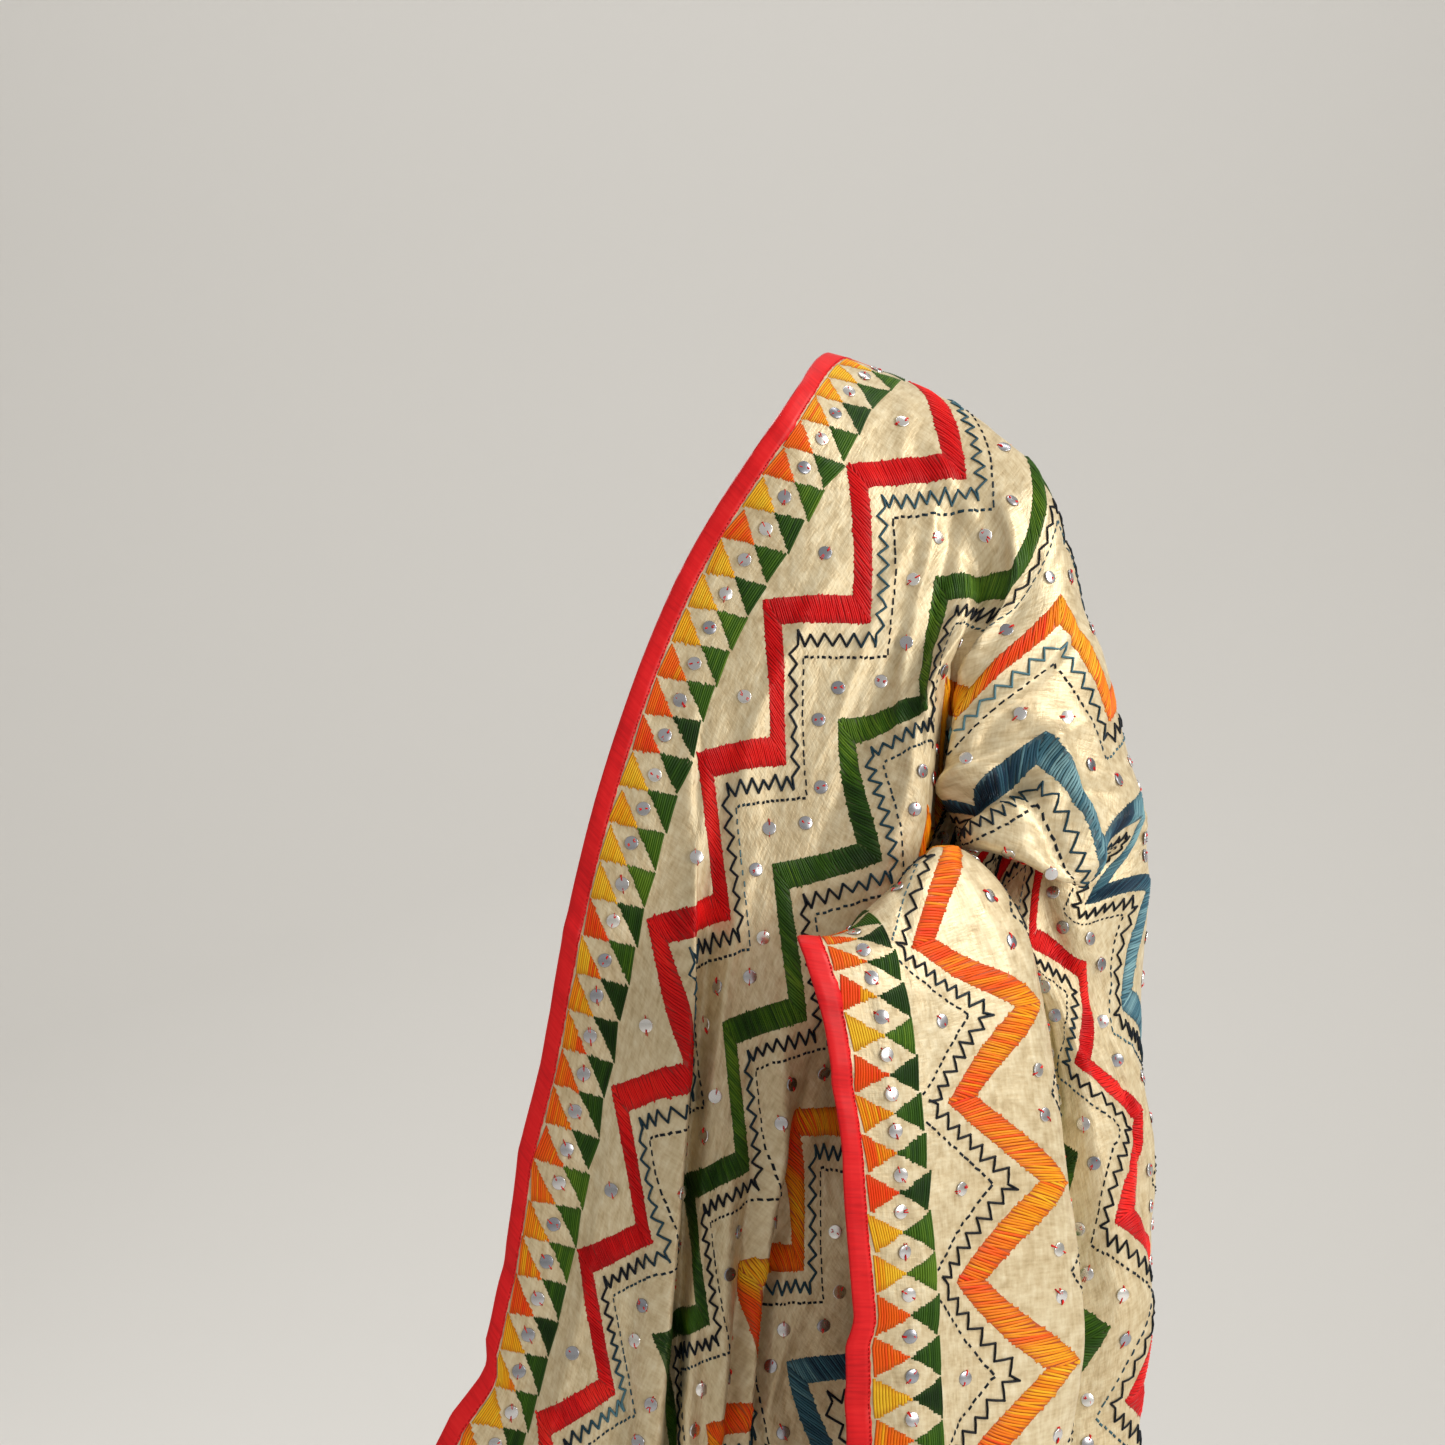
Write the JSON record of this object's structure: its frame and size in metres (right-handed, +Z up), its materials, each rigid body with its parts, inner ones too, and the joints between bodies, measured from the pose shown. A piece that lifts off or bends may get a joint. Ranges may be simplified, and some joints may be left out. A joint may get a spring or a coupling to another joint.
{
  "type": "embroidered dupatta",
  "caption": "Rectangular silk stole with bound long edges, worn over one shoulder and down the bent arm, with open hollows for body, arm and forearm.",
  "frame": {"origin": "top of the shoulder that the cloth lies on, on the line where the front half turns into the back half", "axes": "+Z up, the front of the worn cloth faces -Y, and the covered arm is on the +X side"},
  "size_m": [0.5763, 0.4115, 1.551],
  "materials": {
    "champagne_silk": "soft sheen",
    "red_satin_tape": "satin"
  },
  "bodies": {
    "root": {"front_panel": "champagne_silk", "back_panel": "champagne_silk", "elbow_wrap": "champagne_silk", "inner_fall": "champagne_silk", "forearm_fall": "champagne_silk", "tape_front": "red_satin_tape", "tape_back": "red_satin_tape", "tape_inner": "red_satin_tape", "tape_outer": "red_satin_tape"}
  },
  "joints": []
}
